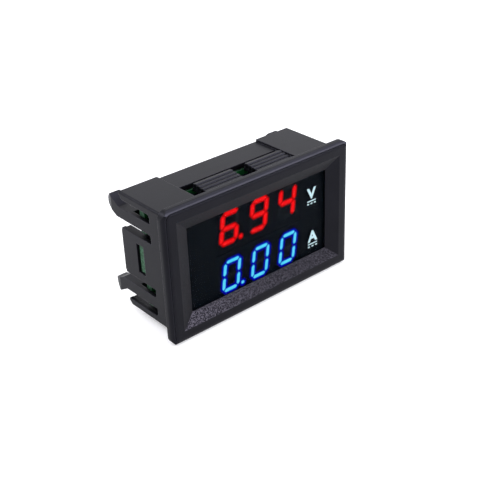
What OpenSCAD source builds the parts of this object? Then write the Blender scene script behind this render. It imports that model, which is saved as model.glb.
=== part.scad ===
// Panel meter with two stacked three-digit displays.
// X runs across the front, +Y goes back into the panel, +Z is up.
// The origin is the centre of the panel cut-out, on the panel's front face.

/* [Bezel] */
// Width of the bezel
bezel_w = 49.3; // [47.5:0.1:56]
// Height of the bezel
bezel_h = 30.1; // [28.5:0.1:36]
// Thickness of the bezel in front of the panel
bezel_t = 2.05; // [1.9:0.05:3.5]
// Width of the flat rim at the left and right
rim_side = 2.8; // [2.3:0.05:3.2]
// Height of the flat rim at the top and bottom
rim_top = 2.8; // [2.3:0.05:3.2]
// Width of the sloping face beside the window
bevel_side = 3.1; // [2:0.1:3.6]
// Height of the sloping face above and below the window
bevel_top = 2.7; // [2:0.1:3]
// How far the sloping faces sink behind the rim
bevel_sink = 1.2; // [0.6:0.1:1.4]
// Straight lip between the sloping faces and the filter
lip_t = 0.2; // [0.15:0.05:0.4]
// Corner radius of the bezel's outline
bezel_corner_r = 1.8; // [1.1:0.1:2.5]
// Radius along the bezel's front edges
bezel_edge_r = 1.35; // [0.9:0.05:1.5]
// Width of the fine groove in the bezel's rounded front edge
groove_w = 0.2; // [0.15:0.05:0.3]
// How far behind the front face the groove's floor lies
groove_floor = 0.35; // [0.3:0.05:0.5]
// Distance of the groove's middle from the bezel's outline
groove_inset = 0.7; // [0.55:0.05:0.8]

/* [Housing] */
// Width of the housing behind the panel
body_w = 46; // [45.5:0.1:46.2]
// Height of the housing behind the panel
body_h = 26.6; // [26.2:0.1:26.8]
// Depth of the housing behind the panel's front face
body_depth = 15.4; // [14.6:0.1:16.2]
// Outer edge radius of the housing
body_edge_r = 0.5; // [0.3:0.1:1]
// Thickness of the left and right walls
side_wall = 0.9; // [0.7:0.05:1.1]
// Thickness of the top and bottom walls
top_wall = 1.5; // [1.3:0.05:1.6]
// Chamfer on the lower rear edge
rear_chamfer = 1.1; // [0.6:0.1:1.3]
// Bevel on the inner rear edge of the top wall
rear_bevel = 1.1; // [0.6:0.1:1.3]

/* [Spring arms] */
// Height of each spring arm
arm_h = 2.5; // [2:0.05:2.8]
// Height of the inner edge of each arm above the middle
arm_z = 7.2; // [7.1:0.05:7.3]
// Height of the slot between an arm and the middle tongue
inner_slot_h = 2; // [1.5:0.1:2.1]
// Height of the slot between an arm and the top or bottom strip
outer_slot_h = 2; // [1.6:0.05:2.05]
// Depth at which the arms and slots start
arm_root_y = 5.2; // [4.4:0.1:6]
// Depth at which an arm gets thicker
arm_thick_y = 11.95; // [11.2:0.05:12.8]
// Thickness of the thick part of an arm
arm_block = 2.7; // [2.2:0.1:2.8]
// Depth at which the flared head starts
head_y = 15.7; // [15.45:0.05:16.5]
// Length of the flared head
head_len = 4.75; // [4.2:0.05:5.2]
// How far the head flares away from the middle
head_flare = 1.75; // [1:0.05:2]
// How far the outer face of the head leans in at its end
head_lead_in = 0.6; // [0.3:0.1:1]

/* [Middle tongues] */
// Thickness of the thick part of a middle tongue
tongue_block = 1.9; // [1.5:0.1:2.2]
// How far the middle tongue stands past the rear edge
tongue_reach = 0.2; // [0.1:0.05:0.6]
// Height of the board window in the tongue
board_window_h = 6.75; // [6:0.25:8]
// Clearance between the board and its window along the depth
board_window_gap = 0.38; // [0.2:0.02:0.5]

/* [Ribbed catches] */
// Half width of the shallow recess in the top and bottom walls
recess_half_w = 13.45; // [13.4:0.05:15]
// Depth of that recess
recess_t = 0.5; // [0.3:0.05:0.6]
// Depth behind the panel at which the recess starts
recess_y = 2.95; // [2.2:0.05:3.15]
// Left end of the ribbed window
catch_x0 = -12.8; // [-13.2:0.1:-12.2]
// Right end of the ribbed window
catch_x1 = 13.3; // [12.8:0.1:13.35]
// Width of the gap beside the first ribbed tongue
catch_gap_a = 2.8; // [2:0.1:3.4]
// Width of the gap between the ribbed tongues
catch_gap_b = 4; // [3:0.1:5]
// Depth at which the ribbed tongues start
rib_y = 3.45; // [3.35:0.05:3.7]
// Distance between the ribs
rib_pitch = 1.1; // [0.9:0.05:1.15]
// Number of ribs on a tongue
rib_count = 4; // [3:1:4]
// Height of each rib
rib_h = 0.7; // [0.4:0.05:0.8]
// Width of the slot at the free end of the tongues
catch_slot = 0.75; // [0.5:0.05:1]
// Thickness of a ribbed tongue
catch_t = 1.35; // [1.1:0.05:1.4]

/* [Filter] */
// Thickness of the tinted filter
filter_t = 0.5; // [0.3:0.05:0.8]
// Clearance round the filter
filter_gap = 0.15; // [0.1:0.05:0.3]

/* [Displays] */
// Width of each display
display_w = 23.5; // [23:0.1:25]
// Height of each display
display_h = 10.8; // [9:0.1:10.9]
// Depth of each display
display_t = 8; // [6:0.1:8.4]
// Distance between the middles of the two displays
display_pitch = 11; // [11:0.05:11.2]
// How far both displays sit right of the middle
display_x = 0.3; // [0:0.1:0.4]
// How far both displays sit below the middle
display_drop = 0.2; // [0:0.1:0.3]
// Space between the displays and the filter
display_gap = 0.06; // [0.04:0.02:0.2]
// Side of the square feet on the back of a display
foot_w = 1.6; // [1:0.1:2.4]
// Height of a digit
digit_h = 7.35; // [6:0.05:7.6]
// Width of a digit
digit_w = 4.75; // [3.8:0.05:4.9]
// Distance between digits
digit_pitch = 7.85; // [7:0.05:7.9]
// Slant of the digits in degrees
slant = 8; // [0:1:12]
// Width of a segment
segment_w = 0.9; // [0.6:0.05:1]
// Gap between neighbouring segments
segment_gap = 0.14; // [0.1:0.02:0.3]
// Depth of a segment
segment_t = 0.4; // [0.2:0.05:0.8]
// Radius of a decimal point
point_r = 0.45; // [0.3:0.05:0.5]
// Radius of a display pin
pin_r = 0.25; // [0.2:0.01:0.3]
// Distance between the two pin rows of a display
pin_row_gap = 7.62; // [6:0.02:8]
// Distance between pins in a row
pin_pitch = 2.54; // [2:0.02:2.6]

/* [Board] */
// Clearance between the circuit board and the housing's walls
board_gap = 0.4; // [0.2:0.05:0.6]
// Clearance between the board and the middle tongues beside it
tongue_gap = 0.3; // [0.2:0.05:0.5]
// Clearance between the middle tongues and the board's wings above and below them
wing_gap = 0.4; // [0.2:0.05:0.8]
// Thickness of the circuit board
board_t = 1.6; // [1.2:0.1:1.8]
// Depth of the board's front face behind the panel's front face
board_y = 8.7; // [8.6:0.05:9.3]
// Height of each side tab
tab_h = 6.4; // [5:0.1:6.5]
// How far inside the housing's side the side tabs end
tab_inset = 0.45; // [0.3:0.05:0.8]
// Radius of a pin hole in the board
pin_hole_r = 0.45; // [0.35:0.01:0.5]
// Height of a solder cone
solder_h = 0.7; // [0.4:0.05:1]
// Base radius of a solder cone
solder_r = 0.7; // [0.6:0.05:0.8]

/* [Headers] */
// Distance of both headers from the middle
header_x = 15.1; // [14.9:0.1:15.4]
// Height of each header above or below the middle
header_z = 5.1; // [4.8:0.1:5.4]
// Height of the headers above the board
header_h = 7; // [5.5:0.1:8]
// Wall of a header
header_wall = 0.8; // [0.6:0.05:1]
// Floor of a header
header_floor = 2; // [1.2:0.1:2.6]
// Side of a square header pin
header_pin = 0.64; // [0.5:0.02:0.8]
// Distance between pins of the supply header
supply_pitch = 2.5; // [2:0.1:2.6]
// Distance between pins of the load header
load_pitch = 3.96; // [3.5:0.02:4.2]
// Width of both headers
header_w = 9.8; // [9.4:0.1:10]
// Height across the supply header
supply_d = 5.75; // [5.2:0.05:6.4]
// Height across the load header
load_d = 6.6; // [5.6:0.1:7]

/* [Trimmers] */
// Side of a trimmer's base
trimmer_w = 3.2; // [3:0.1:3.6]
// Thickness of a trimmer's base
trimmer_t = 1; // [0.8:0.05:1.3]
// Radius of a trimmer's rotor
rotor_r = 1.25; // [1:0.05:1.35]
// Thickness of a trimmer's rotor
rotor_t = 0.6; // [0.5:0.05:0.8]
// Radius of the pin that the rotor turns on
rotor_pin_r = 0.42; // [0.3:0.02:0.5]
// Running clearance round that pin
rotor_fit = 0.05; // [0.02:0.01:0.1]
// Gap between the rotor and its base
rotor_gap = 0.1; // [0.05:0.01:0.2]
// Width of the screwdriver slots in the rotor
driver_slot = 0.4; // [0.3:0.05:0.5]
// Sideways place of the trimmers
trimmer_x = -17.2; // [-17.6:0.1:-16.8]
// Height of the trimmers above and below the middle
trimmer_z = 4; // [3.4:0.1:4.4]

/* [Board parts] */
// Radius of the shunt's wire
shunt_r = 0.7; // [0.5:0.05:0.9]
// Span between the shunt's legs
shunt_span = 8.4; // [7:0.1:9]
// Height of the shunt above the board
shunt_h = 3.2; // [2.4:0.1:3.8]
// Bend radius of the shunt
shunt_bend = 1.4; // [1.2:0.1:1.8]
// Length of a resistor
resistor_len = 1.6; // [1.4:0.1:2]
// Width of a resistor
resistor_w = 0.8; // [0.6:0.1:1]
// Height of a resistor
resistor_h = 0.45; // [0.35:0.05:0.6]
// Length of a capacitor
capacitor_len = 2; // [1.6:0.1:2.4]
// Width of a capacitor
capacitor_w = 1.25; // [1:0.05:1.4]
// Height of a capacitor
capacitor_h = 1.1; // [0.8:0.05:1.3]

/* [Hidden] */
$fn = 48;

cut = 1;
front_y = -bezel_t;
filter_y = front_y + bevel_sink + lip_t;
display_y = filter_y + filter_t + display_gap;
window_w = bezel_w - 2 * (rim_side + bevel_side);
window_h = bezel_h - 2 * (rim_top + bevel_top);
inner_half_w = body_w / 2 - side_wall;
inner_half_h = body_h / 2 - top_wall;
board_back = board_y + board_t;
slot_r = 0.8;
arm_top = arm_z + arm_h;
tongue_half_h = arm_z - inner_slot_h;
strip_z = arm_top + outer_slot_h;
catch_end = rib_y + rib_count * rib_pitch + 0.3;
catch_top = body_h / 2 - recess_t;
catch_tongue_w = (catch_x1 - catch_x0 - catch_gap_a - catch_gap_b) / 2;
window_y0 = board_y - board_window_gap;
window_y1 = board_back + board_window_gap;
red_z = display_pitch / 2 - display_drop;
blue_z = -display_pitch / 2 - display_drop;
board_half_w = body_w / 2 - tongue_block - tongue_gap;
board_half_h = inner_half_h - board_gap;
wing_half_w = inner_half_w - board_gap;
wing_z = tongue_half_h + wing_gap;
header_wide = header_w - 2 * header_wall;
rotor_y = board_back + trimmer_t + rotor_gap;
// How far a pin stands out of its solder.
pin_tail = 0.2;

// Seven segments in the order a to g, then which of them each numeral lights.
LIT = [
    [1, 1, 1, 1, 1, 1, 0], [0, 1, 1, 0, 0, 0, 0], [1, 1, 0, 1, 1, 0, 1], [1, 1, 1, 1, 0, 0, 1],
    [0, 1, 1, 0, 0, 1, 1], [1, 0, 1, 1, 0, 1, 1], [1, 0, 1, 1, 1, 1, 1], [1, 1, 1, 0, 0, 0, 0],
    [1, 1, 1, 1, 1, 1, 1], [1, 1, 1, 1, 0, 1, 1]
];
RED_READING = [6, 9, 4];
BLUE_READING = [0, 0, 0];
POINT_AFTER = 0;

// Places of the small parts on the back of the board, each [x, z, quarter turns].
RESISTORS = [
    [-9.3, 8.4, 0], [-9.3, 6.9, 0], [-9.3, -10.6, 0], [-9.3, 5.4, 0],
    [-17.9, 8.6, 1], [-19.2, 8.6, 1], [-17.6, -8.6, 1], [-19, -8.6, 1], [8.6, 9.9, 0], [11.4, -10.2, 0]
];
CAPACITORS = [[-4.6, 5.4, 1], [-1.6, 5.4, 1], [-15, -9.2, 1], [-16.1, 9, 1], [14.4, 10, 0]];
MCU_AT = [-11.4, 0.2];
AMP_AT = [-11.3, -6.8];
REGULATOR_AT = [-12.6, 7.6];
DIODE_AT = [3.6, 5.4];
SHUNT_AT = [1.2, blue_z];

// Chip packages, each [length, width, height, leads on a side, lead pitch, lead width].
MCU = [6.5, 4.4, 1, 10, 0.65, 0.24];
AMP = [4.9, 3.9, 1.5, 4, 1.27, 0.4];
REGULATOR = [4.5, 2.5, 1.5, 3, 1.5, 0.45];
// Chip leads: thickness, reach out of the body and length of the foot on the board.
lead_t = 0.15;
lead_reach = 0.4;
lead_foot = 0.55;
// Space under a chip's body, and the dimple that marks its first lead.
chip_standoff = 0.1;
dimple_r = 0.3;
dimple_depth = 0.1;
dimple_inset = 0.7;
// Regulator: thickness of its leads, their reach, and the width of its heat tab.
flat_lead_t = 0.4;
flat_lead_reach = 0.9;
heat_tab_w = 1.7;
heat_tab_reach = 0.7;
// Diode: half length, half width at its waist, narrowing towards its top, height, and its terminals.
diode_half_len = 2.15;
diode_half_w = 1.3;
diode_draft = 0.15;
diode_h = 2.1;
terminal_h = 1.1;
terminal_w = 1.4;
terminal_reach = 0.35;
// Metal caps of the small chips.
resistor_end = 0.3;
capacitor_end = 0.4;
// Trimmer terminals: width of a side one and of the middle one, reach and thickness.
side_terminal_w = 0.8;
wiper_terminal_w = 1.4;
trimmer_terminal_reach = 0.4;
trimmer_terminal_t = 0.35;
// Keying slots of a header, and how far its pins end below its rim.
key_w = 1.2;
key_floor = 1;
pin_below_rim = 1;

// Profile drawn in X and Z, extruded along Y from y0 to y1.
module along_y(y0, y1) {
    translate([0, y1, 0]) rotate([90, 0, 0]) linear_extrude(y1 - y0) children();
}

// Profile drawn in Y and Z, extruded along X from x0 to x1.
module along_x(x0, x1) {
    translate([x0, 0, 0]) rotate([90, 0, 90]) linear_extrude(x1 - x0) children();
}

// Profile drawn in X and Y, extruded along Z between -half and half.
module along_z(half) {
    translate([0, 0, -half]) linear_extrude(2 * half) children();
}

module rounded_rectangle(w, h, r) {
    square([w - 2 * r, h], center = true);
    square([w, h - 2 * r], center = true);
    for (sx = [-1, 1], sz = [-1, 1])
        translate([sx * (w / 2 - r), sz * (h / 2 - r)]) circle(r);
}

module both_sides() {
    children();
    mirror([1, 0, 0]) children();
}

module top_and_bottom() {
    children();
    mirror([0, 0, 1]) children();
}

// The bezel's outline, or a line that lies inside it by the inset.
module bezel_outline(inset) {
    rounded_rectangle(bezel_w - 2 * inset, bezel_h - 2 * inset, bezel_corner_r - inset);
}

// Bezel slab whose front edges and corners are true arcs.
module bezel_slab() {
    intersection() {
        along_y(front_y, 0) bezel_outline(0);
        along_z(bezel_h) front_rounded(bezel_w);
        along_x(-bezel_w, bezel_w) rotate(90) mirror([0, 1]) front_rounded(bezel_h);
    }
}

// Section of the bezel: a slab with round front corners, its front at front_y.
module front_rounded(w) {
    r = bezel_edge_r;
    translate([-w / 2, front_y + r]) square([w, bezel_t - r]);
    translate([-w / 2 + r, front_y]) square([w - 2 * r, bezel_t]);
    for (sx = [-1, 1])
        translate([sx * (w / 2 - r), front_y + r]) circle(r);
}

// Fine groove that runs all round in the bezel's rounded front edge.
module edge_groove() {
    along_y(front_y - cut, front_y + groove_floor) difference() {
        bezel_outline(groove_inset - groove_w / 2);
        bezel_outline(groove_inset + groove_w / 2);
    }
}

// Four sloping faces that lead down to the window, and the straight lip.
module window_funnel() {
    intersection() {
        along_z(bezel_h) funnel_section(window_w, bevel_side);
        along_x(-bezel_w, bezel_w) mirror([1, -1]) funnel_section(window_h, bevel_top);
    }
    along_y(front_y, filter_y + cut / 2) square([window_w, window_h], center = true);
}

// Half sections of the funnel in width and depth.
module funnel_section(opening, bevel) {
    out = bevel * (1 + cut / bevel_sink);
    polygon([
        [-opening / 2 - out, front_y - cut], [opening / 2 + out, front_y - cut],
        [opening / 2, front_y + bevel_sink], [-opening / 2, front_y + bevel_sink]
    ]);
}

module body_shell() {
    difference() {
        union() {
            bezel_slab();
            along_y(-cut / 2, body_depth) rounded_rectangle(body_w, body_h, body_edge_r);
        }
        edge_groove();
        window_funnel();
        along_y(filter_y, body_depth + cut) square([2 * inner_half_w, 2 * inner_half_h], center = true);
        both_sides() top_and_bottom() side_slots();
        top_and_bottom() catch_recess();
        lower_rear_chamfer();
        upper_rear_bevel();
    }
}

module lower_rear_chamfer() {
    z = -body_h / 2;
    along_x(-bezel_w, bezel_w) polygon([
        [body_depth - rear_chamfer, z - cut], [body_depth + cut, z - cut],
        [body_depth + cut, z + rear_chamfer + cut], [body_depth - rear_chamfer, z]
    ]);
}

module upper_rear_bevel() {
    along_x(-bezel_w, bezel_w) polygon([
        [body_depth - rear_bevel - cut, strip_z - cut], [body_depth + cut, strip_z - cut],
        [body_depth + cut, strip_z + rear_bevel + cut]
    ]);
}

// The two slots beside an upper arm, open at the rear, with one round front corner each.
module side_slots() {
    along_x(inner_half_w - cut, body_w / 2 + cut) {
        slot_outline(tongue_half_h, inner_slot_h);
        slot_outline(arm_top, outer_slot_h);
    }
}

module slot_outline(z0, h) {
    reach = body_depth + cut;
    translate([arm_root_y, z0]) square([reach - arm_root_y, h - slot_r]);
    translate([arm_root_y + slot_r, z0]) square([reach - arm_root_y - slot_r, h]);
    translate([arm_root_y + slot_r, z0 + h - slot_r]) circle(slot_r);
}

// Thick rear part of an upper arm with its flared head and lead-in face.
module arm_head() {
    x1 = body_w / 2;
    tip = head_y + head_len;
    difference() {
        along_x(x1 - arm_block, x1) polygon([
            [arm_thick_y, arm_z], [head_y + 1.25, arm_z], [head_y + 3, arm_z + 0.95],
            [tip - 0.3, arm_z + 1.4], [tip, arm_z + 1.75],
            [tip, arm_top + 0.35], [tip - 0.35, arm_top + 0.95],
            [tip - 1.2, arm_top + head_flare], [tip - 1.6, arm_top + head_flare - 0.05],
            [head_y + 0.35, arm_top + 0.08], [head_y, arm_top], [arm_thick_y, arm_top]
        ]);
        along_z(body_h) polygon([
            [x1, tip - 1.95], [x1 + cut, tip - 1.95], [x1 + cut, tip + cut],
            [x1 - head_lead_in * (1 + cut / 1.95), tip + cut]
        ]);
    }
}

// Thick rear part of a middle tongue.
module middle_tongue() {
    x1 = body_w / 2;
    tip = body_depth + tongue_reach;
    along_x(x1 - tongue_block, x1) {
        translate([window_y0, -tongue_half_h])
            square([tip - slot_r - window_y0, 2 * tongue_half_h]);
        translate([window_y0, slot_r - tongue_half_h])
            square([tip - window_y0, 2 * (tongue_half_h - slot_r)]);
        for (s = [-1, 1])
            translate([tip - slot_r, s * (tongue_half_h - slot_r)]) circle(slot_r);
    }
}

// Window in a middle tongue that the board's side tab snaps into.
module board_window() {
    along_x(inner_half_w - tongue_block, body_w / 2 + cut)
        translate([window_y0, -board_window_h / 2]) square([window_y1 - window_y0, board_window_h]);
}

// Shallow recess in the top wall and the window in which the ribbed tongues lie.
module catch_recess() {
    along_y(recess_y, body_depth + cut)
        translate([-recess_half_w, catch_top]) square([2 * recess_half_w, recess_t + cut]);
    along_y(rib_y, catch_end + catch_slot)
        translate([catch_x0, inner_half_h - cut]) square([catch_x1 - catch_x0, 2 * top_wall + cut]);
}

// Side section of a ribbed tongue: a ratchet of ramps that fall towards the rear.
module rib_section() {
    ramps = [for (i = [0 : rib_count - 1]) each [
        [rib_y + i * rib_pitch, catch_top],
        [i < rib_count - 1 ? rib_y + (i + 1) * rib_pitch : catch_end, catch_top - rib_h]
    ]];
    polygon(concat([[rib_y, catch_top - catch_t]], ramps, [[catch_end, catch_top - catch_t]]));
}

module ribbed_tongues() {
    first = catch_x0 + catch_gap_a;
    second = first + catch_tongue_w + catch_gap_b;
    along_x(first, first + catch_tongue_w) rib_section();
    along_x(second, second + catch_tongue_w) rib_section();
}

// One-piece moulded housing: bezel, walls, spring arms, tongues and ribbed catches.
module housing() {
    color("#2f2f33") difference() {
        union() {
            body_shell();
            both_sides() top_and_bottom() arm_head();
            both_sides() middle_tongue();
            top_and_bottom() ribbed_tongues();
        }
        both_sides() board_window();
    }
}

module filter_window() {
    w = 2 * (inner_half_w - filter_gap);
    h = 2 * (inner_half_h - filter_gap);
    color("#101417") along_y(filter_y, filter_y + filter_t) square([w, h], center = true);
}

module circuit_board() {
    color("#1e6b2e") difference() {
        along_y(board_y, board_back) {
            square([2 * board_half_w, 2 * board_half_h], center = true);
            square([body_w - 2 * tab_inset, tab_h], center = true);
            for (s = [-1, 1])
                translate([0, s * (board_half_h + wing_z) / 2])
                    square([2 * wing_half_w, board_half_h - wing_z], center = true);
        }
        for (p = display_pin_places())
            pin_hole(p);
        for (p = header_pin_places())
            pin_hole(p);
    }
}

module pin_hole(p) {
    along_y(board_y - cut, board_back + cut) translate(p) circle(pin_hole_r);
}

function display_pin_places() = [
    for (zc = [red_z, blue_z], row = [-1, 1], i = [-2.5 : 1 : 2.5])
        [display_x + i * pin_pitch, zc + row * pin_row_gap / 2]
];

function header_pin_places() = concat(
    [for (i = [-1, 0, 1]) [header_x + i * supply_pitch, header_z]],
    [for (i = [-0.5, 0.5]) [header_x + i * load_pitch, -header_z]]
);

// Display body with pockets for its segments and four feet on the board.
module display_body(zc) {
    difference() {
        translate([display_x, 0, zc]) along_y(display_y, display_y + display_t)
            square([display_w, display_h], center = true);
        along_y(display_y - cut, display_y + segment_t) {
            for (i = [0 : 2])
                all_segments(i, zc);
        }
    }
    for (sx = [-1, 1], sz = [-1, 1])
        along_y(display_y + display_t, board_y)
            translate([display_x + sx * (display_w - foot_w) / 2, zc + sz * (display_h - foot_w) / 2])
                square(foot_w, center = true);
}

module all_segments(i, zc) {
    for (s = [0 : 6])
        segment(i, s, zc);
    decimal_point(i, zc);
}

// Corner points of one segment before the slant: six points with mitred ends.
function bar(len) = let (a = len / 2 - segment_gap, b = segment_w / 2)
    [[-a, 0], [b - a, b], [a - b, b], [a, 0], [a - b, -b], [b - a, -b]];

function turned(points) = [for (p = points) [p[1], p[0]]];

function moved(points, dx, dz) = [for (p = points) [p[0] + dx, p[1] + dz]];

function digit_x(i) = display_x + (i - 1) * digit_pitch;

function slanted(points, i, zc) = [
    for (p = points) [p[0] + p[1] * tan(slant) + digit_x(i), p[1] + zc]
];

function segment_points(s) = let (
    w = digit_w - segment_w,
    h = (digit_h - segment_w) / 2,
    across = bar(w),
    upright = turned(bar(h))
) [
    moved(across, 0, h), moved(upright, w / 2, h / 2), moved(upright, w / 2, -h / 2), moved(across, 0, -h),
    moved(upright, -w / 2, -h / 2), moved(upright, -w / 2, h / 2), moved(across, 0, 0)
][s];

module segment(i, s, zc) {
    polygon(slanted(segment_points(s), i, zc));
}

module decimal_point(i, zc) {
    translate([
        digit_x(i) + digit_w / 2 + point_r,
        zc - (digit_h - segment_w) / 2 + point_r / 4
    ]) circle(point_r, $fn = 24);
}

// Segments of one display that are on (want = 1) or off (want = 0).
module segments(reading, zc, want) {
    along_y(display_y, display_y + segment_t) {
        for (i = [0 : 2], s = [0 : 6])
            if (LIT[reading[i]][s] == want)
                segment(i, s, zc);
        for (i = [0 : 2])
            if ((i == POINT_AFTER ? 1 : 0) == want)
                decimal_point(i, zc);
    }
}

module red_display_body() {
    color("#1b1b1d") display_body(red_z);
}

module blue_display_body() {
    color("#1b1b1d") display_body(blue_z);
}

module red_lit_segments() {
    color("#f5100f") segments(RED_READING, red_z, 1);
}

module red_idle_segments() {
    color("#3a2a2a") segments(RED_READING, red_z, 0);
}

module blue_lit_segments() {
    color("#40c8ff") segments(BLUE_READING, blue_z, 1);
}

module blue_idle_segments() {
    color("#2a2d3a") segments(BLUE_READING, blue_z, 0);
}

module display_pins() {
    color("silver") for (p = display_pin_places())
        along_y(display_y + display_t, board_back + solder_h + pin_tail) translate(p) circle(pin_r, $fn = 16);
}

// Solder barrel and cone round one pin; dir is 1 for a cone behind the board, -1 for one in front.
module solder_joint(p, r, dir) {
    y = dir > 0 ? board_back : board_y;
    difference() {
        translate([p[0], board_y, p[1]]) union() {
            rotate([-90, 0, 0]) cylinder(h = board_t, r = pin_hole_r, $fn = 16);
            translate([0, y - board_y, 0]) rotate([-90 * dir, 0, 0])
                cylinder(h = solder_h, r1 = solder_r, r2 = r + 0.1, $fn = 16);
        }
        along_y(board_y - cut - solder_h, board_back + solder_h + cut) translate(p)
            if (dir > 0) circle(r, $fn = 16);
            else square(2 * r, center = true);
    }
}

module solder_joints() {
    color("#c9ccd0") {
        for (p = display_pin_places())
            solder_joint(p, pin_r, 1);
        for (p = header_pin_places())
            solder_joint(p, header_pin / 2, -1);
    }
}

// Open-topped header shell with a floor, and two keying slots in its wall nearest the middle.
module header_shell(zc, d, key) {
    inner_d = d - 2 * header_wall;
    top = board_back + header_h;
    difference() {
        translate([header_x, 0, zc]) along_y(board_back, top) square([header_w, d], center = true);
        translate([header_x, 0, zc]) along_y(board_back + header_floor, top + cut)
            square([header_wide, inner_d], center = true);
        for (s = [-1, 1])
            translate([header_x + s * header_wide / 4, 0, zc - key * (d - header_wall) / 2])
                along_y(board_back + header_floor + key_floor, top + cut)
                    square([key_w, 1.5 * header_wall], center = true);
        for (p = header_pin_places())
            along_y(board_back - cut, top) translate(p) square(header_pin, center = true);
    }
}

module header_pin_row(first, last) {
    for (i = [first : last])
        along_y(board_y - solder_h - pin_tail, board_back + header_h - pin_below_rim)
            translate(header_pin_places()[i])
                square(header_pin, center = true);
}

module supply_header() {
    color("#e9e6da") header_shell(header_z, supply_d, 1);
}

module supply_header_pins() {
    color("silver") header_pin_row(0, 2);
}

module load_header() {
    color("#e9e6da") header_shell(-header_z, load_d, -1);
}

module load_header_pins() {
    color("silver") header_pin_row(3, 4);
}

// Trimmer base with side terminals and the pin that carries the rotor.
module trimmer_base(zc) {
    translate([trimmer_x, board_back, zc]) {
        along_y(0, trimmer_t) square(trimmer_w, center = true);
        along_y(trimmer_t, trimmer_t + rotor_gap + rotor_t / 2) circle(rotor_pin_r);
        for (s = [-1, 1])
            trimmer_terminal(s * (trimmer_w - side_terminal_w) / 2, -1, side_terminal_w);
        trimmer_terminal(0, 1, wiper_terminal_w);
    }
}

// One terminal on the upper (1) or lower (-1) side of a trimmer's base.
module trimmer_terminal(x, side, w) {
    along_y(0, trimmer_terminal_t)
        translate([x, side * (trimmer_w + trimmer_terminal_reach) / 2])
            square([w, trimmer_terminal_reach], center = true);
}

// Rotor with a running bore and two crossed screwdriver slots.
module trimmer_rotor(zc) {
    translate([trimmer_x, rotor_y, zc]) difference() {
        along_y(0, rotor_t) circle(rotor_r);
        along_y(-cut, rotor_t + cut) circle(rotor_pin_r + rotor_fit);
        along_y(rotor_t * 0.6, rotor_t + cut) {
            square([2 * rotor_r - 0.4, driver_slot], center = true);
            square([driver_slot, 2 * rotor_r - 0.4], center = true);
        }
    }
}

module voltage_trimmer_base() {
    color("#d8d2c2") trimmer_base(trimmer_z);
}

module voltage_trimmer_rotor() {
    color("#c8b06a") trimmer_rotor(trimmer_z);
}

module current_trimmer_base() {
    color("#d8d2c2") trimmer_base(-trimmer_z);
}

module current_trimmer_rotor() {
    color("#c8b06a") trimmer_rotor(-trimmer_z);
}

// Flat chip body that stands a little off the board, with a pin-one dimple.
module chip_body(at, package) {
    w = package[0];
    d = package[1];
    h = package[2];
    translate([at[0], board_back, at[1]]) difference() {
        along_y(chip_standoff, h) square([w, d], center = true);
        along_y(h - dimple_depth, h + cut)
            translate([w / 2 - dimple_inset, d / 2 - dimple_inset]) circle(dimple_r, $fn = 16);
    }
}

// Two rows of bent leads on the long sides of a chip.
module chip_leads(at, package) {
    side_z = package[1] / 2;
    mid = package[2] / 2;
    count = package[3];
    lead_w = package[5];
    heel = side_z + lead_reach;
    for (side = [-1, 1], i = [0 : count - 1])
        translate([at[0] + (i - (count - 1) / 2) * package[4] - lead_w / 2, board_back, at[1]])
            scale([1, 1, side]) along_x(0, lead_w) polygon([
                [mid, side_z], [mid, heel], [lead_t, heel], [lead_t, heel + lead_foot],
                [0, heel + lead_foot], [0, heel - lead_t], [mid - lead_t, heel - lead_t], [mid - lead_t, side_z]
            ]);
}

module microcontroller() {
    color("#18181a") chip_body(MCU_AT, MCU);
}

module microcontroller_leads() {
    color("silver") chip_leads(MCU_AT, MCU);
}

module amplifier() {
    color("#18181a") chip_body(AMP_AT, AMP);
}

module amplifier_leads() {
    color("silver") chip_leads(AMP_AT, AMP);
}

module regulator() {
    color("#18181a") chip_body(REGULATOR_AT, REGULATOR);
}

// Three flat leads below the regulator and the wide heat tab above it.
module regulator_leads() {
    half = REGULATOR[1] / 2;
    color("silver") translate([REGULATOR_AT[0], board_back, REGULATOR_AT[1]]) along_y(0, flat_lead_t) {
        for (i = [-1, 0, 1])
            translate([i * REGULATOR[4], -half - flat_lead_reach / 2])
                square([REGULATOR[5], flat_lead_reach], center = true);
        translate([0, half + heat_tab_reach / 2]) square([heat_tab_w, heat_tab_reach], center = true);
    }
}

module diode() {
    top_half_w = diode_half_w - diode_draft;
    color("#18181a") translate([DIODE_AT[0], board_back, DIODE_AT[1]])
        along_x(-diode_half_len, diode_half_len) polygon([
            [chip_standoff, -top_half_w], [terminal_h, -diode_half_w], [diode_h, -top_half_w],
            [diode_h, top_half_w], [terminal_h, diode_half_w], [chip_standoff, top_half_w]
        ]);
}

module diode_terminals() {
    color("silver") for (s = [-1, 1])
        translate([DIODE_AT[0] + s * (diode_half_len + terminal_reach / 2), board_back, DIODE_AT[1]])
            along_y(0, terminal_h) square([terminal_reach, terminal_w], center = true);
}

// Thick resistance wire bent into a bridge, with both legs on the board.
module shunt() {
    top = shunt_h - shunt_r;
    color("#b08a5a") translate([SHUNT_AT[0] - shunt_span / 2, board_back, SHUNT_AT[1]]) {
        for (s = [0, 1])
            translate([s * shunt_span, 0, 0]) scale([1 - 2 * s, 1, 1]) {
                rotate([-90, 0, 0]) cylinder(h = top - shunt_bend, r = shunt_r, $fn = 24);
                translate([shunt_bend, top - shunt_bend, 0]) rotate([0, 0, 90])
                    rotate_extrude(angle = 90, $fn = 48) translate([shunt_bend, 0]) circle(shunt_r, $fn = 24);
            }
        translate([shunt_bend, top, 0]) rotate([0, 90, 0])
            cylinder(h = shunt_span - 2 * shunt_bend, r = shunt_r, $fn = 24);
    }
}

// Middle block of each small chip in a list.
module chip_middles(places, len, w, h, end) {
    for (p = places)
        translate([p[0], board_back, p[1]]) rotate([0, 90 * p[2], 0])
            along_y(0, h) square([len - 2 * end, w], center = true);
}

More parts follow.
